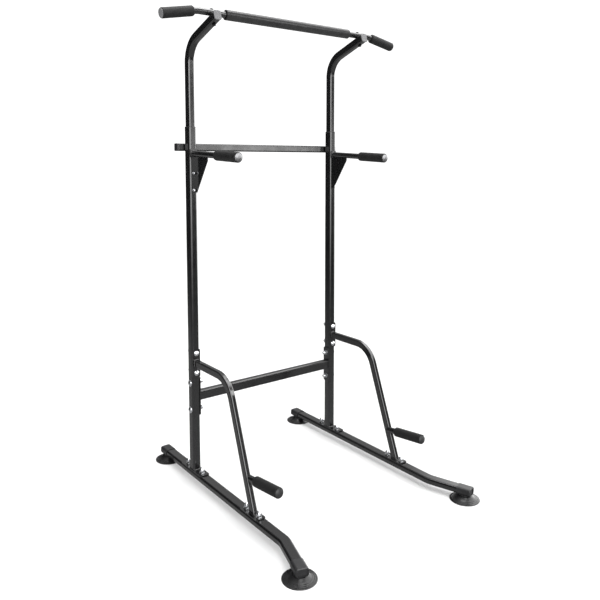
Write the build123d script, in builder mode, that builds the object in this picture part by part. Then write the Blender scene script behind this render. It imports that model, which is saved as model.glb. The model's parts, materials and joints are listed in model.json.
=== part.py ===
from build123d import *
from math import atan2, cos, radians, sin, tan
import os

# Power tower: two uprights on base rails that splay at the front, with dip arms,
# push-up handles and a pull-up bar whose two posts telescope in the uprights and
# are locked by spring buttons.
#
# Millimetres, +Z up. The user stands in front, at -Y, and faces +Y. The origin is
# on the floor under the middle of the footprint.

# ---- driving dimensions ----------------------------------------------------
HALF_SPACING = 360  # from the middle of the machine to each upright
UPRIGHT_Y = 265  # centre line of the uprights
FOOT_Y = 508  # foot centres, in front of and behind the origin
WALL = 1.5  # wall of every rectangular tube
PLATE = 4  # thickness of every welded plate
SLIDE_GAP = 0.3  # clearance of a sliding fit, each side
HOLE_GAP = 0.2  # clearance of a bolt in its hole, all round

# base rails
RAIL_WIDTH = 42
RAIL_HEIGHT = 26
RAIL_CORNER = 8
RAIL_BOTTOM = 23
RAIL_TOP = RAIL_BOTTOM + RAIL_HEIGHT
RAIL_REAR_END = 31  # rail length behind the rear foot centre
RAIL_FRONT_END = 23  # rail length in front of the front foot centre
SPLAY_ANGLE = 17.5
SPLAY_LENGTH = 150  # from the bend to the front foot centre
SPLAY_RADIUS = 90

# feet
CAP_WALL = 2
CAP_END = 6
CAP_RECESS = 3  # depth of the panel in the closed end
CAP_RIM = 4  # width round the panel
CAP_LENGTH = 56
CAP_ROUNDING = 3  # of the edges of the closed end
NECK_RADIUS = 21
NECK_BOTTOM = 18
CUP_RADIUS = 58
CUP_HOLLOW = 8  # height of the hollow under the cup
CUP_RIM = 4  # width of the sealing ring
CUP_EDGE = 2.5
WELD_NUT_RADIUS = 8
WELD_NUT_HEIGHT = 7

# uprights
POST_WIDTH = 34
POST_DEPTH = 40
POST_CORNER = 9
SEAM_Z = 442
SPIGOT_LENGTH = 100
UPRIGHT_TOP = 1448
BASE_PLATE_LENGTH = 166
BASE_PLATE_WIDTH = 42
BASE_BOLT_SPACING = 114
BASE_PLATE_CORNER = 6
WALL_PLATE_CORNER = 4  # of the plates that stand against an upright
SPARE_HOLE = 9
SPARE_HOLE_Z = (1205, 1326)
BUSHING_LENGTH = 48
BUSHING_FLANGE = 3

# cross bar between the lower posts
CROSS_Z = 359
CROSS_HEIGHT = 40
CROSS_DEPTH = 30
CROSS_CORNER = 6
CROSS_PLATE_HEIGHT = 160
CROSS_BOLT_Z = (304, 415)

# rear bar behind the uprights
REAR_BAR_Z = 1371
REAR_BAR_HEIGHT = 30
REAR_BAR_DEPTH = 25
REAR_BAR_CORNER = 5
REAR_BAR_HALF_LENGTH = 404

# front braces
BRACE_WIDTH = 20
BRACE_DEPTH = 30
BRACE_CORNER = 5
BRACE_Z = 501
BRACE_BEND_Y = -7
BRACE_RADIUS = 105
BRACE_LEAN = 20.6  # from vertical
BRACE_FOOT_LENGTH = 112
BRACE_FOOT_SHIFT = 7  # plate centre behind the tube's foot
BRACE_FOOT_BOLT_SPACING = 81
BRACE_PLATE_HEIGHT = 114
BRACE_BOLT_SPACING = 81

# round tubes and foam
ROUND_TUBE = 24
ROUND_WALL = 2
GRIP_DIAMETER = 38.5
GRIP_BORE = ROUND_TUBE + 0.4
GRIP_CHAMFER = 6
PLUG_FLANGE = 4
PLUG_INSERT = 22

# push-up handles
PUSH_UP_Z = 168
PUSH_UP_X = 355
PUSH_UP_TILT = 6.5
PUSH_UP_STUB = 34
PUSH_UP_GRIP = 146

# dip arms
DIP_Z = 1346  # arm axis at the upright
DIP_SLOPE = 3
DIP_LENGTH = 332
DIP_GRIP = 156
DIP_PLATE_WIDTH = 18
DIP_PLATE_SHIFT = 1.5  # plate inboard of the upright's centre
DIP_PLATE_BOTTOM = 1189
DIP_PLATE_TOP = 1364
DIP_HEAD_WIDTH = 28  # of the wider top that carries the arm
DIP_HEAD_HEIGHT = 34
DIP_BOLT_Z = (1201, 1268)
DIP_BOLT_SHIFT = 2  # bolts outboard of the upright's centre
GUSSET_SHIFT = 8  # gusset inboard of the upright's centre
GUSSET_REACH = 99
GUSSET_BOTTOM = 1192
GUSSET_FOOT = 10  # width of the gusset at its lower end
GUSSET_TIP = 12  # height of the gusset at its front end

# telescoping posts and pull-up bar
INNER_WIDTH = 28
INNER_DEPTH = 34
INNER_CORNER = 7
INNER_BOTTOM = 1102
INNER_BEND_Z = 1766.6
INNER_RADIUS = 95
INNER_RISE = 19  # slope of the forward run
INNER_REACH = 221  # forward from the upright's centre line
BAR_SEAT = 189.8  # post centre line under the bar, forward of the uprights
BAR_NOTCH = 1.5  # depth of the saddle in the post
BAR_BEND_X = 422
BAR_RADIUS = 110
BAR_DROP = 11.2
BAR_HALF_LENGTH = 562
SLEEVE_HALF_LENGTH = 303
END_GRIP_START = 436

# height lock: a spring button in each post, and a row of holes down the back of the upright
BUTTON_Z = 1142
BUTTON_DIAMETER = 10
BUTTON_LENGTH = 10.8
BUTTON_CROWN = 3
BUTTON_COLLAR = 14
COLLAR_LENGTH = 2
HOLE_PITCH = 50
STEPS_DOWN = 5
STEPS_UP = 4
LEAF = 0.8  # thickness of the spring
LEAF_WIDTH = 10
LEAF_LENGTH = 43

# fasteners: thread, width across flats, hexagon height and full height of the dome
# nut, and the washer's diameter
M6 = (6, 10, 5, 12, 12)
M8 = (8, 13, 6.5, 15, 16)
M10 = (10, 17, 8, 18, 21)
WASHER = 2
BIG_WASHER = 28
THREAD_IN_NUT = 9
LOW_NUT = 6  # height of the thin nuts under the pull-up bar
NUT_CROWN = 0.46  # radius of the nut's dome as a share of its width
HEAD_RIM = 1.5
HEAD_HEIGHT = 0.62  # of a bolt's head, as a share of its thread
FOOT_HEAD = 7.5
SMALL_HEAD = 8
BIG_HEAD = 10

# end plugs of the round tubes: flange diameter and height
PUSH_UP_PLUG = (33, 6)
DIP_PLUG = (31, 9)
BAR_PLUG = (34, 5)

# ---- derived places --------------------------------------------------------
SIDES = (("left", -1), ("right", 1))
FRONT_FACE = UPRIGHT_Y - POST_DEPTH / 2
BACK_FACE = UPRIGHT_Y + POST_DEPTH / 2
PLATE_FACE = FRONT_FACE - PLATE
BASE_PLATE_TOP = RAIL_TOP + PLATE
SPLAY_X = SPLAY_LENGTH * sin(radians(SPLAY_ANGLE))
SPLAY_Y = SPLAY_LENGTH * cos(radians(SPLAY_ANGLE)) - FOOT_Y
FRONT_FOOT_X = HALF_SPACING + SPLAY_X
BRACE_FOOT_Y = BRACE_BEND_Y - (BRACE_Z - BASE_PLATE_TOP) * tan(radians(BRACE_LEAN))
BRACE_PLATE_Y = BRACE_FOOT_Y + BRACE_FOOT_SHIFT
POST_BACK = UPRIGHT_Y + INNER_DEPTH / 2
CAVITY_WIDTH = POST_WIDTH - 2 * WALL
CAVITY_DEPTH = POST_DEPTH - 2 * WALL
CAVITY_CORNER = POST_CORNER - WALL

RISE_COS = cos(radians(INNER_RISE))
RISE_SIN = sin(radians(INNER_RISE))
BAR_OFFSET = INNER_DEPTH / 2 + ROUND_TUBE / 2 - BAR_NOTCH
BAR_SEAT_Y = UPRIGHT_Y - BAR_SEAT
BAR_SEAT_Z = INNER_BEND_Z + BAR_SEAT * RISE_SIN / RISE_COS
BAR_Y = BAR_SEAT_Y + BAR_OFFSET * RISE_SIN
BAR_Z = BAR_SEAT_Z + BAR_OFFSET * RISE_COS
INNER_END_Y = UPRIGHT_Y - INNER_REACH
INNER_END_Z = INNER_BEND_Z + INNER_REACH * RISE_SIN / RISE_COS


# ---- helpers ---------------------------------------------------------------
def seat(x, y, z, direction):
    """Plane through a point, facing the direction that a fastener or plug points in."""
    return Plane(origin=(x, y, z), z_dir=direction)


def section(plane, width, depth, corner):
    """Rounded rectangle on a plane."""
    with BuildSketch(plane) as outline:
        RectangleRounded(width, depth, corner)
    return outline.sketch


def tube_section(plane, width, depth, corner):
    """Section of a rounded rectangular tube."""
    with BuildSketch(plane) as outline:
        RectangleRounded(width, depth, corner)
        RectangleRounded(width - 2 * WALL, depth - 2 * WALL, corner - WALL, mode=Mode.SUBTRACT)
    return outline.sketch


def ring(plane, outer, inner):
    """Annulus on a plane, given its two diameters."""
    with BuildSketch(plane) as outline:
        Circle(outer / 2)
        Circle(inner / 2, mode=Mode.SUBTRACT)
    return outline.sketch


def rod(plane, diameter, length, mode=Mode.ADD):
    """Round bar from a plane along its normal."""
    with BuildSketch(plane) as outline:
        Circle(diameter / 2)
    extrude(outline.sketch, amount=length, mode=mode)


def bolt_hole(plane, diameter, depth):
    """Clearance hole, cut from a plane against its normal."""
    rod(plane, diameter + 2 * HOLE_GAP, -depth, mode=Mode.SUBTRACT)


def dome(plane, radius, rim, height):
    """Round button with a straight rim and a spherical crown."""
    rise = height - rim
    ball = (radius**2 + rise**2) / (2 * rise)
    half_angle = atan2(radius, ball - rise) / 2
    middle = (ball * sin(half_angle), height - ball + ball * cos(half_angle))
    profile_plane = Plane(plane.origin, x_dir=plane.x_dir, z_dir=-plane.y_dir)
    with BuildSketch(profile_plane) as profile:
        with BuildLine():
            Polyline((0, height), (0, 0), (radius, 0), (radius, rim))
            ThreePointArc((radius, rim), middle, (0, height))
        make_face()
    revolve(profile.sketch, axis=Axis(plane.origin, plane.z_dir))


def dome_nut(plane, size):
    """Cap nut that rests on a plane, with its blind thread."""
    thread, flats, hex_height, height, _ = size
    ball = NUT_CROWN * flats
    with BuildSketch(plane) as hexagon:
        RegularPolygon(flats / 2, 6, major_radius=False)
    extrude(hexagon.sketch, amount=hex_height)
    dome(plane.offset(hex_height), ball, height - hex_height - ball, height - hex_height)
    rod(plane, thread, THREAD_IN_NUT + 1, mode=Mode.SUBTRACT)


def washer(plane, thread, diameter):
    """Flat washer that rests on a plane."""
    extrude(ring(plane, diameter, thread + 2 * HOLE_GAP), amount=WASHER)


def bolt(plane, size, head_radius, length):
    """Dome-headed bolt whose head rests on a plane and whose shank runs behind it."""
    dome(plane, head_radius, HEAD_RIM, HEAD_HEIGHT * size[0])
    rod(plane, size[0], -length)


def save(part, name):
    """Label a finished piece and write it to its own file."""
    part.label = name
    export_step(part, f"parts/{name}.step")


# ---- base rails ------------------------------------------------------------
def base_bolt_places(side):
    """Where the upright's and the brace's base plates are bolted to a rail."""
    spans = ((UPRIGHT_Y, BASE_BOLT_SPACING), (BRACE_PLATE_Y, BRACE_FOOT_BOLT_SPACING))
    return [(side * HALF_SPACING, y + end * gap / 2) for y, gap in spans for end in (-1, 1)]


def foot_places(side):
    """Centre and outward direction of a rail's rear and front foot."""
    splay = radians(SPLAY_ANGLE)
    rear = ("rear", (side * HALF_SPACING, FOOT_Y), (0, 1, 0), RAIL_REAR_END)
    heading = (side * sin(splay), -cos(splay), 0)
    front = ("front", (side * FRONT_FOOT_X, -FOOT_Y), heading, RAIL_FRONT_END)
    return rear, front


FOOT_BOLT_TOP = RAIL_BOTTOM + WALL + WELD_NUT_HEIGHT

for name, side in SIDES:
    _, (_, front_centre, front_heading, _) = foot_places(side)
    front_end = [c + RAIL_FRONT_END * d for c, d in zip(front_centre, front_heading)]
    with BuildPart() as rail:
        with BuildLine(Plane.XY.offset(RAIL_BOTTOM + RAIL_HEIGHT / 2)) as route:
            rear_end = (side * HALF_SPACING, FOOT_Y + RAIL_REAR_END)
            bend = (side * HALF_SPACING, SPLAY_Y)
            FilletPolyline(rear_end, bend, tuple(front_end), radius=SPLAY_RADIUS)
        start = Plane(route.line @ 0, x_dir=(1, 0, 0), z_dir=route.line % 0)
        sweep(tube_section(start, RAIL_WIDTH, RAIL_HEIGHT, RAIL_CORNER), path=route.line)
        for _, (x, y), _, _ in foot_places(side):
            floor = Plane((x, y, RAIL_BOTTOM + WALL / 2))
            rod(floor, 2 * WELD_NUT_RADIUS, WALL / 2 + WELD_NUT_HEIGHT)
            bolt_hole(Plane((x, y, FOOT_BOLT_TOP)), M8[0], 2 * WELD_NUT_HEIGHT)
        for x, y in base_bolt_places(side):
            bolt_hole(Plane((x, y, RAIL_TOP + 1)), M10[0], RAIL_HEIGHT + 2)
    save(rail.part, f"{name}_base_rail")

# ---- feet ------------------------------------------------------------------
CUP_BORE = M8[0] + 2 * HOLE_GAP

for name, side in SIDES:
    for end, (x, y), heading, overhang in foot_places(side):
        with BuildPart() as cap:
            tip = overhang + CAP_END
            mouth = Plane(
                (x + heading[0] * tip, y + heading[1] * tip, RAIL_BOTTOM + RAIL_HEIGHT / 2),
                x_dir=(heading[1], -heading[0], 0),
                z_dir=(-heading[0], -heading[1], 0),
            )
            outer = section(
                mouth,
                RAIL_WIDTH + 2 * CAP_WALL,
                RAIL_HEIGHT + 2 * CAP_WALL,
                RAIL_CORNER + CAP_WALL,
            )
            extrude(outer, amount=CAP_LENGTH)
            fillet(cap.faces().sort_by(Axis(mouth.origin, mouth.z_dir))[0].edges(), CAP_ROUNDING)
            rod(Plane((x, y, NECK_BOTTOM)), 2 * NECK_RADIUS, RAIL_BOTTOM - NECK_BOTTOM)
            inset = 2 * (CAP_RIM - CAP_WALL)
            panel = section(mouth, RAIL_WIDTH - inset, RAIL_HEIGHT - inset, RAIL_CORNER - inset / 2)
            extrude(panel, amount=CAP_RECESS, mode=Mode.SUBTRACT)
            pocket = section(mouth.offset(CAP_END), RAIL_WIDTH, RAIL_HEIGHT, RAIL_CORNER)
            extrude(pocket, amount=CAP_LENGTH, mode=Mode.SUBTRACT)
            bolt_hole(Plane((x, y, RAIL_BOTTOM + 1)), M8[0], CAP_LENGTH)
        save(cap.part, f"{name}_{end}_foot_cap")

        with BuildPart() as cup:
            upright_plane = Plane((x, y, 0), x_dir=(1, 0, 0), z_dir=(0, -1, 0))
            with BuildSketch(upright_plane) as profile:
                with BuildLine():
                    rim = Line((CUP_RADIUS - CUP_RIM, 0), (CUP_RADIUS, 0))
                    edge = Line(rim @ 1, (CUP_RADIUS, CUP_EDGE))
                    flare = Spline(
                        edge @ 1,
                        (45, 6.5),
                        (34, 11.5),
                        (27, NECK_BOTTOM),
                        tangents=((-1, 0.15), (-0.3, 1)),
                    )
                    crown = Line(flare @ 1, (CUP_BORE / 2, NECK_BOTTOM))
                    bore = Line(crown @ 1, (CUP_BORE / 2, CUP_HOLLOW))
                    head_seat = Line(bore @ 1, (CUP_BORE / 2 + 5, CUP_HOLLOW))
                    ThreePointArc(head_seat @ 1, (36, CUP_HOLLOW * 0.6), rim @ 0)
                make_face()
            revolve(profile.sketch, axis=Axis((x, y, 0), (0, 0, 1)))
        save(cup.part, f"{name}_{end}_suction_cup")

with BuildPart() as foot_bolts:
    for _, side in SIDES:
        for _, (x, y), _, _ in foot_places(side):
            under_cup = seat(x, y, CUP_HOLLOW, (0, 0, -1))
            bolt(under_cup, M8, FOOT_HEAD, FOOT_BOLT_TOP - CUP_HOLLOW)
save(foot_bolts.part, "foot_bolts")

# ---- uprights --------------------------------------------------------------
for name, side in SIDES:
    x = side * HALF_SPACING
    outward = (side, 0, 0)
    with BuildPart() as lower_post:
        foot = Plane((x, UPRIGHT_Y, RAIL_TOP))
        foot_outline = section(foot, BASE_PLATE_WIDTH, BASE_PLATE_LENGTH, BASE_PLATE_CORNER)
        extrude(foot_outline, amount=PLATE)
        tube_base = foot.offset(PLATE)
        extrude(
            tube_section(tube_base, POST_WIDTH, POST_DEPTH, POST_CORNER),
            amount=SEAM_Z - BASE_PLATE_TOP,
        )
        for end in (-1, 1):
            y = UPRIGHT_Y + end * BASE_BOLT_SPACING / 2
            bolt_hole(Plane((x, y, BASE_PLATE_TOP + 1)), M10[0], PLATE + 2)
        for z in CROSS_BOLT_Z:
            bolt_hole(seat(x + side * POST_WIDTH, UPRIGHT_Y, z, outward), M10[0], 2 * POST_WIDTH)
    save(lower_post.part, f"{name}_lower_post")

    with BuildPart() as upright:
        seam = Plane((x, UPRIGHT_Y, SEAM_Z))
        tube = tube_section(seam, POST_WIDTH, POST_DEPTH, POST_CORNER)
        extrude(tube, amount=UPRIGHT_TOP - SEAM_Z)
        # The swaged end: a tube that plugs into the lower post, and its shoulder.
        swage_width = CAVITY_WIDTH - 2 * SLIDE_GAP
        swage_depth = CAVITY_DEPTH - 2 * SLIDE_GAP
        swage_corner = CAVITY_CORNER - SLIDE_GAP
        spigot = tube_section(seam, swage_width, swage_depth, swage_corner)
        extrude(spigot, amount=-SPIGOT_LENGTH)
        with BuildSketch(seam) as shoulder:
            RectangleRounded(POST_WIDTH - 1, POST_DEPTH - 1, POST_CORNER - 0.5)
            bore_width = swage_width - 2 * WALL
            bore_depth = swage_depth - 2 * WALL
            RectangleRounded(bore_width, bore_depth, swage_corner - WALL, mode=Mode.SUBTRACT)
        extrude(shoulder.sketch, amount=WALL)
        through = seat(x + side * POST_WIDTH, UPRIGHT_Y, CROSS_BOLT_Z[1], outward)
        bolt_hole(through, M10[0], 2 * POST_WIDTH)
        for end in (-1, 1):
            z = BRACE_Z + end * BRACE_BOLT_SPACING / 2
            bolt_hole(seat(x, FRONT_FACE - 1, z, (0, -1, 0)), M10[0], POST_DEPTH + 2)
        for z in SPARE_HOLE_Z:
            rod(seat(x - POST_WIDTH, UPRIGHT_Y, z, (1, 0, 0)), SPARE_HOLE, 2 * POST_WIDTH, Mode.SUBTRACT)
        # Weld studs for the dip arm and the rear bar, and the row of holes of the lock.
        stud = PLATE + THREAD_IN_NUT
        for z in DIP_BOLT_Z:
            stud_x = x + side * DIP_BOLT_SHIFT
            rod(seat(stud_x, FRONT_FACE + WALL / 2, z, (0, -1, 0)), M6[0], stud + WALL / 2)
        rear_stud = REAR_BAR_DEPTH + WASHER + THREAD_IN_NUT + WALL / 2
        rod(seat(x, BACK_FACE - WALL / 2, REAR_BAR_Z, (0, 1, 0)), M10[0], rear_stud)
        for step in range(-STEPS_DOWN, STEPS_UP + 1):
            back = seat(x, BACK_FACE + 1, BUTTON_Z + step * HOLE_PITCH, (0, 1, 0))
            rod(back, BUTTON_DIAMETER + 1, -WALL - 3, Mode.SUBTRACT)
    save(upright.part, f"{name}_upright")

    with BuildPart() as bushing:
        top = Plane((x, UPRIGHT_Y, UPRIGHT_TOP))
        extrude(section(top, CAVITY_WIDTH, CAVITY_DEPTH, CAVITY_CORNER), amount=-BUSHING_LENGTH)
        extrude(section(top, POST_WIDTH, POST_DEPTH, POST_CORNER), amount=BUSHING_FLANGE)
        fillet(bushing.edges().group_by(Axis.Z)[-1], 1)
        way_width = INNER_WIDTH + 2 * SLIDE_GAP
        way_depth = INNER_DEPTH + 2 * SLIDE_GAP
        way = section(top.offset(10), way_width, way_depth, INNER_CORNER + SLIDE_GAP)
        extrude(way, amount=-BUSHING_LENGTH - 20, mode=Mode.SUBTRACT)
    save(bushing.part, f"{name}_upright_bushing")

# ---- cross bar and rear bar ------------------------------------------------
PLATE_INNER_X = HALF_SPACING - POST_WIDTH / 2 - PLATE

with BuildPart() as cross_bar:
    bar_start = Plane((-PLATE_INNER_X, UPRIGHT_Y, CROSS_Z), x_dir=(0, 1, 0), z_dir=(1, 0, 0))
    tube = tube_section(bar_start, CROSS_DEPTH, CROSS_HEIGHT, CROSS_CORNER)
    extrude(tube, amount=2 * PLATE_INNER_X)
    for _, side in SIDES:
        inner_face = Plane(
            (side * PLATE_INNER_X, UPRIGHT_Y, CROSS_Z), x_dir=(0, 1, 0), z_dir=(side, 0, 0)
        )
        extrude(section(inner_face, POST_DEPTH - 4, CROSS_PLATE_HEIGHT, 5), amount=PLATE)
        for z in CROSS_BOLT_Z:
            face = seat(side * (PLATE_INNER_X + PLATE + 1), UPRIGHT_Y, z, (side, 0, 0))
            bolt_hole(face, M10[0], PLATE + 2)
save(cross_bar.part, "cross_bar")

REAR_BAR_Y = BACK_FACE + REAR_BAR_DEPTH / 2
with BuildPart() as rear_bar:
    bar_start = Plane(
        (-REAR_BAR_HALF_LENGTH, REAR_BAR_Y, REAR_BAR_Z), x_dir=(0, 1, 0), z_dir=(1, 0, 0)
    )
    tube = tube_section(bar_start, REAR_BAR_DEPTH, REAR_BAR_HEIGHT, REAR_BAR_CORNER)
    extrude(tube, amount=2 * REAR_BAR_HALF_LENGTH)
    for _, side in SIDES:
        back = seat(side * HALF_SPACING, BACK_FACE + REAR_BAR_DEPTH + 1, REAR_BAR_Z, (0, 1, 0))
        bolt_hole(back, M10[0], REAR_BAR_DEPTH + 2)
save(rear_bar.part, "rear_bar")

with BuildPart() as rear_bar_plugs:
    for _, side in SIDES:
        end_face = Plane(
            (side * REAR_BAR_HALF_LENGTH, REAR_BAR_Y, REAR_BAR_Z),
            x_dir=(0, 1, 0),
            z_dir=(side, 0, 0),
        )
        flange = section(end_face, REAR_BAR_DEPTH, REAR_BAR_HEIGHT, REAR_BAR_CORNER)
        extrude(flange, amount=PLUG_FLANGE)
        insert = section(
            end_face,
            REAR_BAR_DEPTH - 2 * WALL,
            REAR_BAR_HEIGHT - 2 * WALL,
            REAR_BAR_CORNER - WALL,
        )
        extrude(insert, amount=-PLUG_INSERT)
save(rear_bar_plugs.part, "rear_bar_plugs")

# ---- front braces ----------------------------------------------------------
LEAN_TAN = tan(radians(BRACE_LEAN))
PUSH_UP_AXIS = (0, -cos(radians(PUSH_UP_TILT)), sin(radians(PUSH_UP_TILT)))
PUSH_UP_ROOT_Y = BRACE_BEND_Y - (BRACE_Z - PUSH_UP_Z) * LEAN_TAN
# The brace's front face is this far in front of its centre line, measured along Y.
BRACE_FRONT = BRACE_DEPTH / 2 / cos(radians(BRACE_LEAN))


def push_up_plane(side, distance):
    """Plane across a push-up handle, at a distance in front of the brace's front face."""
    along = BRACE_FRONT + distance
    y = PUSH_UP_ROOT_Y + along * PUSH_UP_AXIS[1]
    z = PUSH_UP_Z + along * PUSH_UP_AXIS[2]
    return Plane((side * PUSH_UP_X, y, z), x_dir=(1, 0, 0), z_dir=PUSH_UP_AXIS)


for name, side in SIDES:
    x = side * HALF_SPACING
    with BuildPart() as brace:
        with BuildLine(Plane.YZ.offset(x)) as route:
            top_end = (PLATE_FACE, BRACE_Z)
            bend = (BRACE_BEND_Y, BRACE_Z)
            below = PLATE + 10
            foot_end = (BRACE_FOOT_Y - below * LEAN_TAN, BASE_PLATE_TOP - below)
            FilletPolyline(top_end, bend, foot_end, radius=BRACE_RADIUS)
        start = Plane(route.line @ 0, x_dir=(1, 0, 0), z_dir=route.line % 0)
        sweep(tube_section(start, BRACE_WIDTH, BRACE_DEPTH, BRACE_CORNER), path=route.line)
        split(bisect_by=Plane.XY.offset(BASE_PLATE_TOP), keep=Keep.TOP)
        foot = Plane((x, BRACE_PLATE_Y, RAIL_TOP))
        foot_outline = section(foot, BASE_PLATE_WIDTH - 2, BRACE_FOOT_LENGTH, BASE_PLATE_CORNER)
        extrude(foot_outline, amount=PLATE)
        top_plate = Plane((x, FRONT_FACE, BRACE_Z), x_dir=(1, 0, 0), z_dir=(0, -1, 0))
        top_outline = section(top_plate, POST_WIDTH, BRACE_PLATE_HEIGHT, WALL_PLATE_CORNER)
        extrude(top_outline, amount=PLATE)
        handle = push_up_plane(side, -BRACE_DEPTH * 0.35)
        extrude(
            ring(handle, ROUND_TUBE, ROUND_TUBE - 2 * ROUND_WALL),
            amount=PUSH_UP_STUB + PUSH_UP_GRIP + BRACE_DEPTH * 0.35,
        )
        for end in (-1, 1):
            y = BRACE_PLATE_Y + end * BRACE_FOOT_BOLT_SPACING / 2
            bolt_hole(Plane((x, y, BASE_PLATE_TOP + 1)), M10[0], PLATE + 2)
            z = BRACE_Z + end * BRACE_BOLT_SPACING / 2
            bolt_hole(seat(x, PLATE_FACE - 1, z, (0, -1, 0)), M10[0], PLATE + 2)
    save(brace.part, f"{name}_brace")

    with BuildPart() as grip:
        extrude(
            ring(push_up_plane(side, PUSH_UP_STUB), GRIP_DIAMETER, GRIP_BORE),
            amount=PUSH_UP_GRIP,
        )
        outer_edges = grip.edges().filter_by(GeomType.CIRCLE).group_by(SortBy.RADIUS)[-1]
        fillet(outer_edges, 3)
    save(grip.part, f"{name}_push_up_grip")


def round_plug(plane, size):
    """Domed plug that closes a round tube whose end lies on the plane."""
    flange_diameter, height = size
    dome(plane, flange_diameter / 2, height * 0.4, height)
    rod(plane, ROUND_TUBE - 2 * ROUND_WALL, -PLUG_INSERT)


with BuildPart() as push_up_plugs:
    for _, side in SIDES:
        end_face = push_up_plane(side, PUSH_UP_STUB + PUSH_UP_GRIP)
        round_plug(end_face, PUSH_UP_PLUG)
save(push_up_plugs.part, "push_up_handle_plugs")

# ---- dip arms --------------------------------------------------------------
DIP_AXIS = (0, -cos(radians(DIP_SLOPE)), -sin(radians(DIP_SLOPE)))


def dip_plane(side, distance):
    """Plane across a dip arm, at a distance in front of its plate."""
    y = PLATE_FACE + distance * DIP_AXIS[1]
    z = DIP_Z + distance * DIP_AXIS[2]
    return Plane((side * HALF_SPACING, y, z), x_dir=(1, 0, 0), z_dir=DIP_AXIS)


for name, side in SIDES:
    x = side * HALF_SPACING
    with BuildPart() as dip_arm:
        plate_height = DIP_PLATE_TOP - DIP_PLATE_BOTTOM
        plate_x = x - side * DIP_PLATE_SHIFT
        middle = (plate_x, FRONT_FACE, DIP_PLATE_BOTTOM + plate_height / 2)
        face = Plane(middle, x_dir=(1, 0, 0), z_dir=(0, -1, 0))
        extrude(section(face, DIP_PLATE_WIDTH, plate_height, WALL_PLATE_CORNER), amount=PLATE)
        head = Plane(
            (x, FRONT_FACE, DIP_PLATE_TOP - DIP_HEAD_HEIGHT / 2), x_dir=(1, 0, 0), z_dir=(0, -1, 0)
        )
        head_outline = section(head, DIP_HEAD_WIDTH, DIP_HEAD_HEIGHT, WALL_PLATE_CORNER)
        extrude(head_outline, amount=PLATE)
        ends = dip_plane(side, -PLATE / 2)
        extrude(ring(ends, ROUND_TUBE, ROUND_TUBE - 2 * ROUND_WALL), amount=DIP_LENGTH + PLATE / 2)
        # The gusset reaches into the underside of the arm and stands on the plate.
        gusset_x = x - side * GUSSET_SHIFT
        with BuildSketch(Plane.YZ.offset(gusset_x - PLATE / 2)) as gusset:
            under_arm = DIP_Z - ROUND_TUBE / 2 + 2
            reach_z = under_arm - GUSSET_REACH * tan(radians(DIP_SLOPE))
            with BuildLine():
                Polyline(
                    (PLATE_FACE, GUSSET_BOTTOM),
                    (PLATE_FACE + PLATE / 2, GUSSET_BOTTOM),
                    (PLATE_FACE + PLATE / 2, under_arm),
                    (PLATE_FACE - GUSSET_REACH, reach_z),
                    (PLATE_FACE - GUSSET_REACH, reach_z - GUSSET_TIP),
                    (PLATE_FACE - GUSSET_FOOT, GUSSET_BOTTOM),
                    close=True,
                )
            make_face()
        extrude(gusset.sketch, amount=PLATE)
        for z in DIP_BOLT_Z:
            stud_x = x + side * DIP_BOLT_SHIFT
            bolt_hole(seat(stud_x, PLATE_FACE - 1, z, (0, -1, 0)), M6[0], PLATE + 2)
    save(dip_arm.part, f"{name}_dip_arm")

    with BuildPart() as grip:
        start = dip_plane(side, DIP_LENGTH - DIP_GRIP)
        extrude(ring(start, GRIP_DIAMETER, GRIP_BORE), amount=DIP_GRIP)
        rims = grip.edges().filter_by(GeomType.CIRCLE).group_by(SortBy.RADIUS)[-1]
        rims = rims.sort_by(Axis(start.origin, start.z_dir))
        chamfer(rims[0], GRIP_CHAMFER)
        fillet(rims[-1], 2)
    save(grip.part, f"{name}_dip_grip")

with BuildPart() as dip_plugs:
    for _, side in SIDES:
        round_plug(dip_plane(side, DIP_LENGTH), DIP_PLUG)
save(dip_plugs.part, "dip_arm_plugs")

# ---- telescoping posts -----------------------------------------------------
RISE_UP = (0, RISE_SIN, RISE_COS)
RISE_FORWARD = (0, -RISE_COS, RISE_SIN)

for name, side in SIDES:
    x = side * HALF_SPACING
    with BuildPart() as post:
        with BuildLine(Plane.YZ.offset(x)) as route:
            bottom = (UPRIGHT_Y, INNER_BOTTOM)
            bend = (UPRIGHT_Y, INNER_BEND_Z)
            FilletPolyline(bottom, bend, (INNER_END_Y, INNER_END_Z), radius=INNER_RADIUS)
        start = Plane(route.line @ 0, x_dir=(1, 0, 0), z_dir=route.line % 0)
        sweep(tube_section(start, INNER_WIDTH, INNER_DEPTH, INNER_CORNER), path=route.line)
        bar_end = Plane((x - INNER_WIDTH, BAR_Y, BAR_Z), x_dir=(0, 1, 0), z_dir=(1, 0, 0))
        rod(bar_end, ROUND_TUBE, 2 * INNER_WIDTH, Mode.SUBTRACT)
        above = Plane((x, BAR_Y, BAR_Z), x_dir=(1, 0, 0), z_dir=RISE_UP)
        bolt_hole(above, M8[0], 2 * INNER_DEPTH)
        back = seat(x, POST_BACK + 1, BUTTON_Z, (0, 1, 0))
        rod(back, BUTTON_DIAMETER + 0.8, -WALL - 3, Mode.SUBTRACT)
    save(post.part, f"{name}_telescoping_post")

with BuildPart() as post_plugs:
    for _, side in SIDES:
        end_face = Plane(
            (side * HALF_SPACING, INNER_END_Y, INNER_END_Z), x_dir=(1, 0, 0), z_dir=RISE_FORWARD
        )
        flange = section(end_face, INNER_WIDTH + 1, INNER_DEPTH + 3, INNER_CORNER + 0.5)
        extrude(flange, amount=PLUG_FLANGE)
        insert = section(
            end_face, INNER_WIDTH - 2 * WALL, INNER_DEPTH - 2 * WALL, INNER_CORNER - WALL
        )
        extrude(insert, amount=-PLUG_INSERT)
    fillet(post_plugs.edges().filter_by(GeomType.CIRCLE, reverse=True).group_by(Axis.Y)[0], 0.8)
save(post_plugs.part, "post_plugs")

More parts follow.
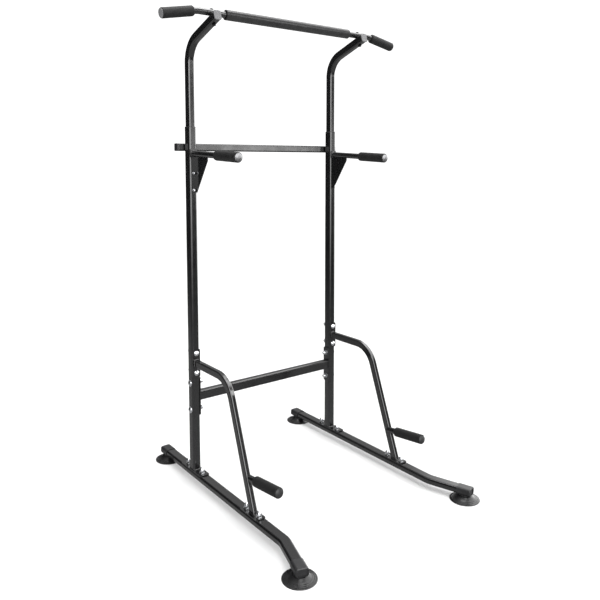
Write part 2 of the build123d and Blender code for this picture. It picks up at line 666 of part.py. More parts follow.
GLIDE_FLANGE = 6
with BuildPart() as glides:
    for _, side in SIDES:
        end_face = Plane((side * HALF_SPACING, UPRIGHT_Y, INNER_BOTTOM))
        flange = section(
            end_face,
            CAVITY_WIDTH - 2 * SLIDE_GAP,
            CAVITY_DEPTH - 2 * SLIDE_GAP,
            CAVITY_CORNER - SLIDE_GAP,
        )
        extrude(flange, amount=-GLIDE_FLANGE)
        insert = section(
            end_face, INNER_WIDTH - 2 * WALL, INNER_DEPTH - 2 * WALL, INNER_CORNER - WALL
        )
        extrude(insert, amount=PLUG_INSERT)
save(glides.part, "post_glides")

# ---- pull-up bar -----------------------------------------------------------
DROP_COS = cos(radians(BAR_DROP))
DROP_SIN = sin(radians(BAR_DROP))


def bar_end_plane(side, x):
    """Plane across the drooping end of the pull-up bar."""
    z = BAR_Z - (x - BAR_BEND_X) * DROP_SIN / DROP_COS
    return Plane((side * x, BAR_Y, z), x_dir=(0, 1, 0), z_dir=(side * DROP_COS, 0, -DROP_SIN))


with BuildPart() as pull_up_bar:
    tip_z = BAR_Z - (BAR_HALF_LENGTH - BAR_BEND_X) * DROP_SIN / DROP_COS
    with BuildLine(Plane((0, BAR_Y, 0), x_dir=(1, 0, 0), z_dir=(0, -1, 0))) as route:
        FilletPolyline(
            (-BAR_HALF_LENGTH, tip_z),
            (-BAR_BEND_X, BAR_Z),
            (BAR_BEND_X, BAR_Z),
            (BAR_HALF_LENGTH, tip_z),
            radius=BAR_RADIUS,
        )
    start = Plane(route.line @ 0, z_dir=route.line % 0)
    sweep(ring(start, ROUND_TUBE, ROUND_TUBE - 2 * ROUND_WALL), path=route.line)
    for _, side in SIDES:
        above = Plane((side * HALF_SPACING, BAR_Y, BAR_Z), x_dir=(1, 0, 0), z_dir=RISE_UP)
        bolt_hole(above.offset(ROUND_TUBE), M8[0], 2 * ROUND_TUBE)
save(pull_up_bar.part, "pull_up_bar")

with BuildPart() as sleeve:
    start = Plane((-SLEEVE_HALF_LENGTH, BAR_Y, BAR_Z), z_dir=(1, 0, 0))
    extrude(ring(start, GRIP_DIAMETER, GRIP_BORE), amount=2 * SLEEVE_HALF_LENGTH)
    fillet(sleeve.edges().filter_by(GeomType.CIRCLE).group_by(SortBy.RADIUS)[-1], 2)
save(sleeve.part, "pull_up_bar_sleeve")

END_GRIP_LENGTH = (BAR_HALF_LENGTH - END_GRIP_START) / DROP_COS
for name, side in SIDES:
    with BuildPart() as grip:
        start = bar_end_plane(side, END_GRIP_START)
        extrude(ring(start, GRIP_DIAMETER, GRIP_BORE), amount=END_GRIP_LENGTH)
        fillet(grip.edges().filter_by(GeomType.CIRCLE).group_by(SortBy.RADIUS)[-1], 2)
    save(grip.part, f"{name}_bar_grip")

with BuildPart() as bar_plugs:
    for _, side in SIDES:
        end_face = bar_end_plane(side, BAR_HALF_LENGTH)
        round_plug(end_face, BAR_PLUG)
save(bar_plugs.part, "pull_up_bar_plugs")

# ---- fasteners -------------------------------------------------------------
base_seats = [
    Plane((x, y, BASE_PLATE_TOP)) for _, side in SIDES for x, y in base_bolt_places(side)
]
OUTER_X = HALF_SPACING + POST_WIDTH / 2
cross_heads = []
cross_nuts = []
brace_heads = []
brace_nuts = []
dip_nuts = []
rear_nuts = []
for _, side in SIDES:
    x = side * HALF_SPACING
    for z in CROSS_BOLT_Z:
        cross_heads.append(seat(side * OUTER_X, UPRIGHT_Y, z, (side, 0, 0)))
        cross_nuts.append(seat(side * PLATE_INNER_X, UPRIGHT_Y, z, (-side, 0, 0)))
    for end in (-1, 1):
        z = BRACE_Z + end * BRACE_BOLT_SPACING / 2
        brace_heads.append(seat(x, PLATE_FACE, z, (0, -1, 0)))
        brace_nuts.append(seat(x, BACK_FACE, z, (0, 1, 0)))
    for z in DIP_BOLT_Z:
        dip_nuts.append(seat(x + side * DIP_BOLT_SHIFT, PLATE_FACE, z, (0, -1, 0)))
    rear_nuts.append(seat(x, BACK_FACE + REAR_BAR_DEPTH, REAR_BAR_Z, (0, 1, 0)))

with BuildPart() as frame_washers:
    for place in base_seats + brace_heads + brace_nuts + cross_nuts + rear_nuts:
        washer(place, M10[0], M10[4])
    for place in cross_heads:
        washer(place, M10[0], BIG_WASHER)
save(frame_washers.part, "frame_washers")

with BuildPart() as base_bolts:
    shank = RAIL_HEIGHT + PLATE + WASHER + THREAD_IN_NUT
    for place in base_seats:
        under_rail = seat(place.origin.X, place.origin.Y, RAIL_BOTTOM, (0, 0, -1))
        bolt(under_rail, M10, BIG_HEAD, shank)
save(base_bolts.part, "base_bolts")

with BuildPart() as base_nuts:
    for place in base_seats:
        dome_nut(place.offset(WASHER), M10)
save(base_nuts.part, "base_dome_nuts")

with BuildPart() as cross_bolts:
    shank = POST_WIDTH + PLATE + 2 * WASHER + THREAD_IN_NUT
    for place in cross_heads:
        bolt(place.offset(WASHER), M10, BIG_HEAD, shank)
save(cross_bolts.part, "cross_bar_bolts")

with BuildPart() as cross_dome_nuts:
    for place in cross_nuts:
        dome_nut(place.offset(WASHER), M10)
save(cross_dome_nuts.part, "cross_bar_dome_nuts")

with BuildPart() as brace_bolts:
    shank = POST_DEPTH + PLATE + 2 * WASHER + THREAD_IN_NUT
    for place in brace_heads:
        bolt(place.offset(WASHER), M10, BIG_HEAD, shank)
save(brace_bolts.part, "brace_bolts")

with BuildPart() as brace_dome_nuts:
    for place in brace_nuts:
        dome_nut(place.offset(WASHER), M10)
save(brace_dome_nuts.part, "brace_dome_nuts")

with BuildPart() as dip_dome_nuts:
    for place in dip_nuts:
        dome_nut(place, M6)
save(dip_dome_nuts.part, "dip_arm_dome_nuts")

with BuildPart() as rear_dome_nuts:
    for place in rear_nuts:
        dome_nut(place.offset(WASHER), M10)
save(rear_dome_nuts.part, "rear_bar_dome_nuts")

bar_heads = []
bar_seats = []
for _, side in SIDES:
    middle = Plane((side * HALF_SPACING, BAR_Y, BAR_Z), x_dir=(1, 0, 0), z_dir=RISE_UP)
    bar_heads.append(middle.offset(ROUND_TUBE / 2))
    under = middle.offset(-BAR_OFFSET - INNER_DEPTH / 2)
    bar_seats.append(Plane(under.origin, x_dir=(1, 0, 0), z_dir=-under.z_dir))

with BuildPart() as bar_bolts:
    shank = ROUND_TUBE / 2 + BAR_OFFSET + INNER_DEPTH / 2 + LOW_NUT
    for place in bar_heads:
        bolt(place, M8, SMALL_HEAD, shank)
save(bar_bolts.part, "bar_bolts")

with BuildPart() as bar_nuts:
    for place in bar_seats:
        with BuildSketch(place) as hexagon:
            RegularPolygon(M8[1] / 2, 6, major_radius=False)
            Circle(M8[0] / 2, mode=Mode.SUBTRACT)
        extrude(hexagon.sketch, amount=LOW_NUT)
save(bar_nuts.part, "bar_nuts")

# ---- height lock -----------------------------------------------------------
# The buttons are drawn pressed in, with their tips just inside the back of the posts.
for name, side in SIDES:
    tip = seat(side * HALF_SPACING, POST_BACK - HOLE_GAP, BUTTON_Z, (0, 1, 0))
    with BuildPart() as button:
        rod(tip.offset(-BUTTON_CROWN), BUTTON_DIAMETER, BUTTON_CROWN - BUTTON_LENGTH)
        dome(tip.offset(-BUTTON_CROWN), BUTTON_DIAMETER / 2, BUTTON_CROWN * 0.2, BUTTON_CROWN)
        rod(tip.offset(-BUTTON_LENGTH), BUTTON_COLLAR, -COLLAR_LENGTH)
    save(button.part, f"{name}_snap_button")

LEAF_FRONT = UPRIGHT_Y - INNER_DEPTH / 2 + WALL
LEAF_BACK = POST_BACK - BUTTON_LENGTH - COLLAR_LENGTH - 2 * HOLE_GAP
with BuildPart() as button_springs:
    for _, side in SIDES:
        # A strip bent into a narrow U, open downwards, between the collar and the post.
        low_end = BUTTON_Z - BUTTON_COLLAR / 2 - 1
        leaf_plane = Plane(
            (side * HALF_SPACING - LEAF_WIDTH / 2, (LEAF_FRONT + LEAF_BACK) / 2, low_end),
            x_dir=(0, 1, 0),
            z_dir=(1, 0, 0),
        )
        span = LEAF_BACK - LEAF_FRONT
        with BuildSketch(leaf_plane) as strip:
            RectangleRounded(span, 2 * LEAF_LENGTH, span / 2 - 0.1)
            inner = span - 2 * LEAF
            RectangleRounded(inner, 2 * (LEAF_LENGTH - LEAF), inner / 2 - 0.1, mode=Mode.SUBTRACT)
            with Locations((0, -LEAF_LENGTH)):
                Rectangle(2 * span, 2 * LEAF_LENGTH, mode=Mode.SUBTRACT)
        extrude(strip.sketch, amount=LEAF_WIDTH)
save(button_springs.part, "button_springs")
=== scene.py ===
import json
from math import cos, pi, radians, sin, tan

import bmesh
import bpy
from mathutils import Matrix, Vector, noise


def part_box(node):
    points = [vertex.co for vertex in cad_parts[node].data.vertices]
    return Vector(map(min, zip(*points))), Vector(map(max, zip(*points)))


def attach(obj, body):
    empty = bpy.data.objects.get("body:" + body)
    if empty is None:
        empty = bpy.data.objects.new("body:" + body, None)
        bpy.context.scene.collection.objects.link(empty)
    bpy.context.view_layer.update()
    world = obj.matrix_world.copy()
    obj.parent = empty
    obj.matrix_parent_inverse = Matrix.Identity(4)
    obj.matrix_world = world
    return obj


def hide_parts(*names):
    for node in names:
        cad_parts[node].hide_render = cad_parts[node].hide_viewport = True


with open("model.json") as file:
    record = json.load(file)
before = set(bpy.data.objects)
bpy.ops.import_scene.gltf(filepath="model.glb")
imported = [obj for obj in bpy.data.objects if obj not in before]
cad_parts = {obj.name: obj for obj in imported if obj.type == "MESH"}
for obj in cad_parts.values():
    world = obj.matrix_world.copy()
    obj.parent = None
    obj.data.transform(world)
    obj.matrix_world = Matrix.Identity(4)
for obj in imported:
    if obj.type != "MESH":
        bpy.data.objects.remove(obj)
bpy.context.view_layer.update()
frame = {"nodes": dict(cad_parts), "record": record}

# A power tower on a pale studio floor. Metres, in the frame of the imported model.

# ---- dimensions shared with the frame --------------------------------------
PLATE = 0.004
POST_WIDTH = 0.034
POST_DEPTH = 0.040
POST_CORNER = 0.009
ROUND_TUBE = 0.024
FOAM_RADIUS = 0.01925
FOAM_BORE = 0.0122
DIP_SLOPE = radians(-3)
PUSH_UP_TILT = radians(6.5)
BAR_DROP = radians(11.2)
SIDES = (("left", -1), ("right", 1))
NODES = frame["nodes"]


# ---- small geometry helpers ------------------------------------------------
def centre(node):
    """Middle of a CAD node's box."""
    low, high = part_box(node)
    return (Vector(low) + Vector(high)) / 2


def basis(axis):
    """Two unit vectors across an axis."""
    axis = Vector(axis).normalized()
    helper = Vector((1, 0, 0)) if abs(axis.x) < 0.9 else Vector((0, 0, 1))
    across = axis.cross(helper).normalized()
    return across, axis.cross(across).normalized()


def skin(mesh, rings):
    """Quads between rings of points, with the last ring joined to the first."""
    made = [[mesh.verts.new(point) for point in ring] for ring in rings]
    count = len(made[0])
    for lower, upper in zip(made, made[1:] + made[:1]):
        for i in range(count):
            j = (i + 1) % count
            mesh.faces.new((lower[i], lower[j], upper[j], upper[i]))


def lathe(mesh, origin, axis, profile, segments, shape=None):
    """Turns a closed profile of (radius, height) points about an axis. shape varies the radius."""
    origin, axis = Vector(origin), Vector(axis).normalized()
    u, v = basis(axis)
    rings = []
    for radius, height in profile:
        ring = []
        for step in range(segments):
            angle = 2 * pi * step / segments
            r = shape(radius, height, angle) if shape else radius
            ring.append(origin + axis * height + (u * cos(angle) + v * sin(angle)) * r)
        rings.append(ring)
    skin(mesh, rings)


def arc(middle, radius, start, end, steps):
    """Points of a circular arc in a profile, angles in degrees."""
    points = []
    for step in range(steps + 1):
        angle = radians(start + (end - start) * step / steps)
        points.append((middle[0] + radius * cos(angle), middle[1] + radius * sin(angle)))
    return points


def piece(name, mesh, material, body, stands_for=()):
    """Finishes a mesh as a smooth-shaded piece that rides on a body."""
    bmesh.ops.remove_doubles(mesh, verts=mesh.verts, dist=1e-6)
    bmesh.ops.dissolve_degenerate(mesh, dist=1e-7, edges=mesh.edges)
    bmesh.ops.recalc_face_normals(mesh, faces=mesh.faces)
    data = bpy.data.meshes.new(name)
    mesh.to_mesh(data)
    mesh.free()
    data.polygons.foreach_set("use_smooth", [True] * len(data.polygons))
    data.set_sharp_from_angle(angle=radians(35))
    data.materials.append(material)
    made = bpy.data.objects.new(name, data)
    bpy.context.scene.collection.objects.link(made)
    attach(made, body)
    if stands_for:
        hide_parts(*stands_for)
    return made


# ---- materials -------------------------------------------------------------
def new_material(name):
    """A material with its Principled shader and object coordinates, ready for detail."""
    material = bpy.data.materials.new(name)
    material.use_nodes = True
    tree = material.node_tree
    shader = tree.nodes["Principled BSDF"]
    place = tree.nodes.new("ShaderNodeTexCoord")
    return material, tree, shader, place.outputs["Object"]


def noise_node(tree, place, scale, detail=3.0, roughness=0.5):
    """Fractal noise at a scale in cycles per metre."""
    node = tree.nodes.new("ShaderNodeTexNoise")
    node.inputs["Scale"].default_value = scale
    node.inputs["Detail"].default_value = detail
    node.inputs["Roughness"].default_value = roughness
    tree.links.new(place, node.inputs["Vector"])
    return node.outputs["Fac"]


def ramp(tree, value, low, high, low_at=0.3, high_at=0.7):
    """Maps a value to a range of greys or colours."""
    node = tree.nodes.new("ShaderNodeValToRGB")
    ends = node.color_ramp.elements
    for end, at, tone in ((ends[0], low_at, low), (ends[1], high_at, high)):
        colour = (tone, tone, tone) if isinstance(tone, float) else tone
        end.position = at
        end.color = (*colour, 1.0)
    tree.links.new(value, node.inputs["Fac"])
    return node.outputs["Color"]


def bump(tree, shader, heights):
    """Chains bumps, each (height value, strength, distance in metres), into the normal."""
    previous = None
    for height, strength, distance in heights:
        node = tree.nodes.new("ShaderNodeBump")
        node.inputs["Strength"].default_value = strength
        node.inputs["Distance"].default_value = distance
        tree.links.new(height, node.inputs["Height"])
        if previous:
            tree.links.new(previous, node.inputs["Normal"])
        previous = node.outputs["Normal"]
    tree.links.new(previous, shader.inputs["Normal"])


def powder_coat():
    """Semi-gloss black powder coat with a fine orange peel and faint handling marks."""
    material, tree, shader, place = new_material("black_powder_coat")
    broad = noise_node(tree, place, 9, 4)
    colour = ramp(tree, broad, (0.0045, 0.0045, 0.0048), (0.0075, 0.0075, 0.008))
    tree.links.new(colour, shader.inputs["Base Color"])
    rough = ramp(tree, noise_node(tree, place, 30, 5, 0.6), 0.13, 0.19)
    tree.links.new(rough, shader.inputs["Roughness"])
    shader.inputs["Specular IOR Level"].default_value = 1.0
    peel = noise_node(tree, place, 700, 2)
    speckle = noise_node(tree, place, 2600, 2)
    bump(tree, shader, ((peel, 0.03, 0.0002), (speckle, 0.03, 0.0001)))
    return material


def foam(name, dark, light, roughness):
    """Closed-cell foam: pores, a soft sheen and a slightly uneven tone."""
    material, tree, shader, place = new_material(name)
    mottle = noise_node(tree, place, 55, 4, 0.6)
    tree.links.new(ramp(tree, mottle, dark, light), shader.inputs["Base Color"])
    tree.links.new(
        ramp(tree, noise_node(tree, place, 400, 3), roughness - 0.05, roughness + 0.05),
        shader.inputs["Roughness"],
    )
    shader.inputs["Specular IOR Level"].default_value = 0.22
    shader.inputs["Sheen Weight"].default_value = 0.02
    shader.inputs["Sheen Roughness"].default_value = 0.5
    cells = tree.nodes.new("ShaderNodeTexVoronoi")
    cells.inputs["Scale"].default_value = 900
    tree.links.new(place, cells.inputs["Vector"])
    grain = noise_node(tree, place, 1500, 3)
    bump(tree, shader, ((cells.outputs["Distance"], 0.10, 0.0002), (grain, 0.12, 0.0001)))
    return material


def cup_rubber():
    """Glossy black moulded rubber with a faint bloom."""
    material, tree, shader, place = new_material("black_rubber")
    bloom = noise_node(tree, place, 40, 5, 0.65)
    tone = ramp(tree, bloom, (0.006, 0.006, 0.0065), (0.012, 0.012, 0.0125))
    tree.links.new(tone, shader.inputs["Base Color"])
    tree.links.new(ramp(tree, bloom, 0.22, 0.36), shader.inputs["Roughness"])
    shader.inputs["Specular IOR Level"].default_value = 0.35
    fine = noise_node(tree, place, 900, 2)
    bump(tree, shader, ((fine, 0.06, 0.0002),))
    return material


def moulded_plastic(name, dark, light, roughness):
    """Moulded plastic with a fine eroded texture."""
    material, tree, shader, place = new_material(name)
    broad = noise_node(tree, place, 25, 4)
    tree.links.new(ramp(tree, broad, dark, light), shader.inputs["Base Color"])
    fine = noise_node(tree, place, 1800, 3)
    rough = ramp(tree, fine, roughness - 0.06, roughness + 0.06)
    tree.links.new(rough, shader.inputs["Roughness"])
    bump(tree, shader, ((fine, 0.18, 0.00015),))
    return material


def plated_metal(name, tone, roughness):
    """Bright plating over steel, with soft streaks and small stains."""
    material, tree, shader, place = new_material(name)
    shader.inputs["Metallic"].default_value = 1.0
    stain = noise_node(tree, place, 160, 4, 0.6)
    low = tuple(0.86 * part for part in tone)
    tree.links.new(ramp(tree, stain, low, tone), shader.inputs["Base Color"])
    tree.links.new(
        ramp(tree, noise_node(tree, place, 500, 3), roughness - 0.06, roughness + 0.08),
        shader.inputs["Roughness"],
    )
    bump(tree, shader, ((noise_node(tree, place, 1400, 2), 0.05, 0.0001),))
    return material


PAINT = powder_coat()
GRIP_FOAM = foam("grip_foam", (0.007, 0.007, 0.0073), (0.013, 0.013, 0.0133), 0.62)
SLEEVE_FOAM = foam("sleeve_foam", (0.02, 0.02, 0.0205), (0.03, 0.03, 0.0305), 0.27)
RUBBER = cup_rubber()
CAP_PLASTIC = moulded_plastic("cap_plastic", (0.012, 0.012, 0.013), (0.02, 0.02, 0.021), 0.42)
BLACK_PLASTIC = moulded_plastic("black_plastic", (0.015, 0.015, 0.016), (0.025, 0.025, 0.026), 0.38)
GREY_PLASTIC = moulded_plastic("grey_plastic", (0.13, 0.13, 0.134), (0.17, 0.17, 0.174), 0.42)
SLIDE_PLASTIC = moulded_plastic("slide_plastic", (0.02, 0.02, 0.022), (0.035, 0.035, 0.037), 0.33)
BRIGHT = plated_metal("bright_dome", (0.27, 0.27, 0.275), 0.5)
BLACK_STEEL = plated_metal("black_oxide", (0.035, 0.035, 0.037), 0.34)
ZINC = plated_metal("zinc_plating", (0.80, 0.81, 0.83), 0.24)
LOCK_STEEL = plated_metal("turned_steel", (0.55, 0.55, 0.57), 0.3)

SLOT_MATERIALS = {
    "frame_paint": PAINT,
    "grip_foam": GRIP_FOAM,
    "sleeve_foam": SLEEVE_FOAM,
    "cup_rubber": RUBBER,
    "cap_plastic": CAP_PLASTIC,
    "black_plastic": BLACK_PLASTIC,
    "grey_plastic": GREY_PLASTIC,
    "slide_plastic": SLIDE_PLASTIC,
    "bright_plug": BRIGHT,
    "black_steel": BLACK_STEEL,
    "zinc": ZINC,
    "lock_steel": LOCK_STEEL,
}
for part in frame["record"]["subparts"]:
    cad_node = NODES[part["node"]]
    cad_node.data.materials.clear()
    cad_node.data.materials.append(SLOT_MATERIALS[part["material_slot"]])


# ---- foam grips ------------------------------------------------------------
FOAM_LIP = 0.0018  # radius of the soft edge at each end
FOAM_STEP = 0.0025  # spacing of the rings along a grip
FOAM_UNEVEN = 0.00022
BORE_INSET = 0.0012
DIP_GRIP = 0.156
PUSH_UP_GRIP = 0.146
DIP_CHAMFER = 0.0062
GRIP_CHAMFER = 0.003


def foam_tube(name, axis, length, body, inner_chamfer=0.0, material=GRIP_FOAM):
    """Foam sleeve on a round tube: soft ends, and a skin that is slightly uneven."""
    axis = Vector(axis).normalized()
    start = centre(name) - axis * length / 2
    lip = FOAM_LIP
    first = arc((FOAM_RADIUS - lip, lip), lip, -90, 0, 4)
    if inner_chamfer:
        edge = FOAM_RADIUS - inner_chamfer
        first = arc((edge - lip, lip), lip, -90, -20, 3)
        for step in range(1, 7):
            # The chamfer swells gently into the full diameter.
            share = step / 6
            swell = sin(share * pi / 2)
            first.append((edge + inner_chamfer * swell, lip + 1.5 * inner_chamfer * share))
    last = arc((FOAM_RADIUS - lip, length - lip), lip, 0, 90, 4)
    run_start, run_end = first[-1][1], last[0][1]
    count = max(8, int((run_end - run_start) / FOAM_STEP))
    run = [
        (FOAM_RADIUS, run_start + (run_end - run_start) * step / count)
        for step in range(1, count)
    ]
    bore = [(FOAM_BORE, length - BORE_INSET), (FOAM_BORE, BORE_INSET)]
    profile = first + run + last + bore

    def uneven(radius, height, angle):
        if radius <= FOAM_BORE:
            return radius
        spot = Vector((cos(angle) * 1.6, sin(angle) * 1.6, height * 60 + len(name)))
        return radius - FOAM_UNEVEN * (0.5 + 0.5 * noise.noise(spot))

    mesh = bmesh.new()
    lathe(mesh, start, axis, profile, 72, shape=uneven)
    made_name = name.replace("_grip", "_foam_grip") if "grip" in name else name + "_foam"
    made = piece(made_name, mesh, material, body, [name])


def make_grips():
    """All seven foam pieces."""
    for side, sign in SIDES:
        foam_tube(
            f"{side}_dip_grip", (0, -cos(DIP_SLOPE), sin(DIP_SLOPE)), DIP_GRIP, "frame",
            inner_chamfer=DIP_CHAMFER,
        )
        foam_tube(
            f"{side}_push_up_grip", (0, -cos(PUSH_UP_TILT), sin(PUSH_UP_TILT)), PUSH_UP_GRIP,
            "frame", inner_chamfer=GRIP_CHAMFER,
        )
        low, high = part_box(f"{side}_bar_grip")
        length = (high[0] - low[0] - 2 * FOAM_RADIUS * sin(BAR_DROP)) / cos(BAR_DROP)
        foam_tube(
            f"{side}_bar_grip", (sign * cos(BAR_DROP), 0, -sin(BAR_DROP)), length,
            "pull_up_assembly", inner_chamfer=GRIP_CHAMFER,
        )
    low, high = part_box("pull_up_bar_sleeve")
    foam_tube(
        "pull_up_bar_sleeve", (1, 0, 0), high[0] - low[0], "pull_up_assembly",
        material=SLEEVE_FOAM,
    )


make_grips()


# ---- suction cups ----------------------------------------------------------
HUB = 0.0265
HOLLOW = 0.0080
BOLT_BORE = 0.0042
SEAT = 0.0092  # of the bolt under the hub
BOWL = 0.0100
BOWL_TOP = HOLLOW - 0.0006
SKIRT = 0.0030
HUB_EDGE = 0.0014
RING = 0.0006  # height of the two raised rings
RING_STEPS = (5, 11)


def suction_cup(node):
    """Turned rubber cup: sealing rim, thin skirt with grip rings, bell, hub and hollow."""
    low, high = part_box(node)
    middle = centre(node)
    outer = (high[0] - low[0]) / 2
    top = high[2]
    profile = [(BOLT_BORE, HOLLOW), (SEAT, HOLLOW), (BOWL, BOWL_TOP)]
    for step in range(1, 13):
        # Underside: a shallow bowl that meets the sealing rim.
        share = step / 12
        radius = BOWL + (outer - 0.0145) * share
        profile.append((radius, BOWL_TOP * (1 - share**2.2)))
    profile += [(outer - 0.0038, 0.0), (outer - 0.0006, 0.0), (outer, 0.0007), (outer, 0.0021)]
    profile += [(outer - 0.0009, 0.0028), (outer - SKIRT, SKIRT)]
    for step in range(1, 25):
        # Skirt: rises slowly, then sweeps up the bell to the hub, with two raised rings.
        share = step / 24
        radius = outer - SKIRT - (outer - SKIRT - HUB) * share
        height = SKIRT + (top - 0.0048) * (0.35 * share + 0.65 * share**2.6)
        raised = RING if step in RING_STEPS else 0.0
        profile.append((radius, height + raised))
    profile += arc((HUB - HUB_EDGE, top - 0.0018), HUB_EDGE, 10, 90, 4)
    profile += [(BOLT_BORE, top - 0.0004)]
    mesh = bmesh.new()
    lathe(mesh, (middle.x, middle.y, 0), (0, 0, 1), profile, 96)
    piece(node + "_rubber", mesh, RUBBER, "frame", [node])


for side, _ in SIDES:
    for end in ("front", "rear"):
        suction_cup(f"{side}_{end}_suction_cup")


# ---- weld beads ------------------------------------------------------------
X, Y, Z = Vector((1, 0, 0)), Vector((0, 1, 0)), Vector((0, 0, 1))
BEAD = 0.0019  # radius
BEAD_SIDES = 10
BEAD_STEP = 0.0007
PUDDLE = 0.0026  # spacing of the ripples
BEAD_LIFT = 0.0004  # of a bead's middle above its plate
BRACE_Z = 0.501
BRACE_BEND_Y = -0.007
BRACE_LEAN = radians(20.6)
BRACE_WIDTH = 0.020
BRACE_DEPTH = 0.030
BRACE_CORNER = 0.005
DIP_ROOT_Z = 1.346


def bead(mesh, path):
    """A weld bead along a closed path, rippled where each puddle froze."""
    count = len(path)
    rings = []
    travelled = 0.0
    for index, point in enumerate(path):
        before = path[index - 1]
        after = path[(index + 1) % count]
        travelled += (point - path[index - 1]).length if index else 0.0
        u, v = basis(after - before)
        puddle = 0.13 * sin(travelled * 2 * pi / PUDDLE)
        ripple = 1 + puddle + 0.08 * noise.noise(point * 300)
        ring = []
        for step in range(BEAD_SIDES):
            angle = 2 * pi * step / BEAD_SIDES
            ring.append(point + (u * cos(angle) + v * sin(angle)) * BEAD * ripple)
        rings.append(ring)
    skin(mesh, rings)


def rounded_loop(middle, u, v, width, height, corner):
    """Points round a rounded rectangle with sides along u and v."""
    points = []
    half_w, half_h = width / 2 - corner, height / 2 - corner
    corners = ((1, 1), (-1, 1), (-1, -1), (1, -1))
    for index, (a, b) in enumerate(corners):
        for step in range(9):
            angle = pi / 2 * (index + step / 8)
            across = a * half_w + corner * cos(angle)
            along = b * half_h + corner * sin(angle)
            points.append(middle + u * across + v * along)
    filled = []
    for here, there in zip(points, points[1:] + points[:1]):
        steps = max(1, round((there - here).length / BEAD_STEP))
        filled += [here.lerp(there, step / steps) for step in range(steps)]
    return filled


def weld_lower_post(side):
    """The bead between a lower post and its base plate."""
    low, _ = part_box(f"{side}_lower_post")
    middle = centre(f"{side}_lower_post")
    foot = Vector((middle.x, middle.y, low[2] + PLATE + BEAD_LIFT))
    mesh = bmesh.new()
    bead(mesh, rounded_loop(foot, X, Y, POST_WIDTH, POST_DEPTH, POST_CORNER))
    piece(f"{side}_lower_post_weld", mesh, PAINT, "frame")


def weld_brace(side):
    """The beads at the foot and at the top of a brace."""
    low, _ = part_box(f"{side}_lower_post")
    post = centre(f"{side}_lower_post")
    plate_top = low[2] + PLATE
    foot_y = BRACE_BEND_Y - (BRACE_Z - plate_top) * tan(BRACE_LEAN)
    foot = Vector((post.x, foot_y, plate_top + BEAD_LIFT))
    top = Vector((post.x, post.y - POST_DEPTH / 2 - PLATE - BEAD_LIFT, BRACE_Z))
    foot_length = BRACE_DEPTH / cos(BRACE_LEAN)
    mesh = bmesh.new()
    bead(mesh, rounded_loop(foot, X, Y, BRACE_WIDTH, foot_length, BRACE_CORNER))
    bead(mesh, rounded_loop(top, X, Z, BRACE_WIDTH, BRACE_DEPTH, BRACE_CORNER))
    piece(f"{side}_brace_weld", mesh, PAINT, "frame")


def weld_dip_arm(side):
    """The bead between a dip arm's tube and its plate."""
    face = centre(f"{side}_lower_post").y - POST_DEPTH / 2 - PLATE
    root = Vector((centre(f"{side}_dip_grip").x, face - BEAD_LIFT, DIP_ROOT_Z))
    mesh = bmesh.new()
    bead(mesh, rounded_loop(root, X, Z, ROUND_TUBE, ROUND_TUBE, ROUND_TUBE / 2))
    piece(f"{side}_dip_arm_weld", mesh, PAINT, "frame")


for side, _ in SIDES:
    weld_lower_post(side)
    weld_brace(side)
    weld_dip_arm(side)


# ---- studio ----------------------------------------------------------------
SURROUND = 1.2
# Pale walls that glossy surfaces see: azimuth from -Y towards +X, the half-widths where
# the wall starts and stops fading, the heights where it appears, strength. The third
# cancels the second above a low band, which leaves a strip.
WALLS = (
    (-12, 27, 38, -0.24, 0.02, 5.0),
    (33.6, 4.9, 6.3, -0.03, 0.0, 6.0),
    (33.6, 4.9, 6.3, 0.035, 0.075, -5.75),
    (90, 30, 44, -0.25, 0.0, 4.5),
    (143, 18, 50, 0.05, 0.35, 0.6),
)
OVERHEAD = 1.1
FLOOR_GLOW = 0.5
DIM = 0.02


def floor_material():
    """A matte pale floor with a very faint unevenness of tone."""
    material, tree, shader, place = new_material("pale_floor")
    cloud = noise_node(tree, place, 0.8, 3)
    tree.links.new(ramp(tree, cloud, 0.88, 0.90), shader.inputs["Base Color"])
    shader.inputs["Roughness"].default_value = 0.85
    return material


def make_floor():
    """A plain pale floor that runs well past the view."""
    reach = 14.0
    mesh = bmesh.new()
    signs = ((-1, -1), (1, -1), (1, 1), (-1, 1))
    mesh.faces.new([mesh.verts.new((x * reach, y * reach, 0)) for x, y in signs])
    data = bpy.data.meshes.new("studio_floor")
    mesh.to_mesh(data)
    mesh.free()
    data.materials.append(floor_material())
    floor = bpy.data.objects.new("studio_floor", data)
    bpy.context.scene.collection.objects.link(floor)
    floor.visible_glossy = False


def area_light(name, place, target, size, power):
    """A soft rectangular light aimed at a point."""
    data = bpy.data.lights.new(name, "AREA")
    data.shape = "RECTANGLE"
    data.size, data.size_y = size
    data.energy = power
    lamp = bpy.data.objects.new(name, data)
    lamp.location = place
    lamp.rotation_mode = "QUATERNION"
    lamp.rotation_quaternion = (Vector(target) - Vector(place)).to_track_quat("-Z", "Y")
    bpy.context.scene.collection.objects.link(lamp)


def fade(tree, value, low, high, strength):
    """A smooth rise from nothing at low to strength at high."""
    node = tree.nodes.new("ShaderNodeMapRange")
    node.interpolation_type = "SMOOTHSTEP"
    node.inputs["From Min"].default_value = low
    node.inputs["From Max"].default_value = high
    node.inputs["To Max"].default_value = strength
    tree.links.new(value, node.inputs["Value"])
    return node.outputs["Result"]


def vector_step(tree, operation, vector, other=None):
    """One vector operation."""
    node = tree.nodes.new("ShaderNodeVectorMath")
    node.operation = operation
    tree.links.new(vector, node.inputs[0])
    if other:
        node.inputs[1].default_value = other
    return node.outputs["Value" if operation == "DOT_PRODUCT" else "Vector"]


def combine(tree, operation, first, second):
    """One sum or product of two values."""
    node = tree.nodes.new("ShaderNodeMath")
    node.operation = operation
    tree.links.new(first, node.inputs[0])
    tree.links.new(second, node.inputs[1])
    return node.outputs["Value"]


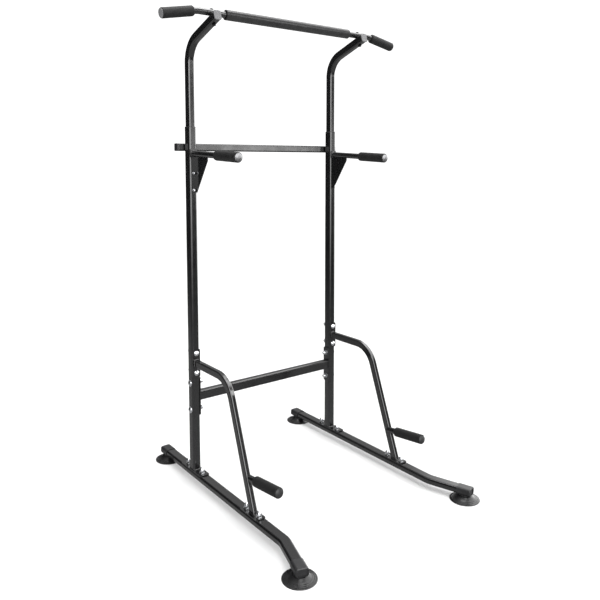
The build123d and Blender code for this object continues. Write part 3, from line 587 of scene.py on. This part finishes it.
def make_world():
    """A white surround. Glossy surfaces see a dim room with a few pale walls instead."""
    world = bpy.data.worlds.new("studio")
    bpy.context.scene.world = world
    world.use_nodes = True
    tree = world.node_tree
    surround = tree.nodes["Background"]
    surround.inputs["Color"].default_value = (1.0, 1.0, 1.0, 1.0)
    surround.inputs["Strength"].default_value = SURROUND
    direction = tree.nodes.new("ShaderNodeTexCoord").outputs["Generated"]
    height = vector_step(tree, "DOT_PRODUCT", direction, (0, 0, 1))
    level = vector_step(tree, "NORMALIZE", vector_step(tree, "MULTIPLY", direction, (1, 1, 0)))
    total = fade(tree, height, 0.60, 0.95, OVERHEAD)
    total = combine(tree, "ADD", total, fade(tree, height, -0.14, -0.36, FLOOR_GLOW))
    total = combine(tree, "ADD", total, fade(tree, height, -3.0, -2.0, DIM))
    for azimuth, start, end, low, high, strength in WALLS:
        towards = (sin(radians(azimuth)), -cos(radians(azimuth)), 0)
        aim = vector_step(tree, "DOT_PRODUCT", level, towards)
        across = fade(tree, aim, cos(radians(end)), cos(radians(start)), strength)
        wall = combine(tree, "MULTIPLY", across, fade(tree, height, low, high, 1.0))
        total = combine(tree, "ADD", total, wall)
    room = tree.nodes.new("ShaderNodeBackground")
    tree.links.new(total, room.inputs["Strength"])
    choose = tree.nodes.new("ShaderNodeMixShader")
    light_path = tree.nodes.new("ShaderNodeLightPath")
    tree.links.new(light_path.outputs["Is Glossy Ray"], choose.inputs["Fac"])
    tree.links.new(surround.outputs["Background"], choose.inputs[1])
    tree.links.new(room.outputs["Background"], choose.inputs[2])
    tree.links.new(choose.outputs["Shader"], tree.nodes["World Output"].inputs["Surface"])


def make_camera():
    """The camera, at the height of the dip arms, in front and to the left."""
    data = bpy.data.cameras.new("camera")
    data.sensor_width = 36
    data.lens = 39.045
    data.shift_y = -0.1333
    camera = bpy.data.objects.new("camera", data)
    camera.location = (-1.5831, -2.0598, 1.3129)
    heading, pitch = radians(37.246), radians(5.105)
    forward = Vector((sin(heading) * cos(pitch), cos(heading) * cos(pitch), -sin(pitch)))
    camera.rotation_mode = "QUATERNION"
    camera.rotation_quaternion = forward.to_track_quat("-Z", "Y")
    bpy.context.scene.collection.objects.link(camera)
    bpy.context.scene.camera = camera


make_floor()
make_world()
area_light("front_right_softbox", (1.95, -2.78, 2.9), (0, 0.2, 1.6), (1.2, 1.2), 26)
area_light("front_left_softbox", (-2.9, -2.3, 2.6), (0, 0, 1.1), (0.7, 1.6), 26)
area_light("overhead_softbox", (0.2, 0.2, 4.0), (0, 0, 0.6), (1.6, 1.6), 40)
make_camera()
bpy.context.scene.view_settings.view_transform = "Standard"

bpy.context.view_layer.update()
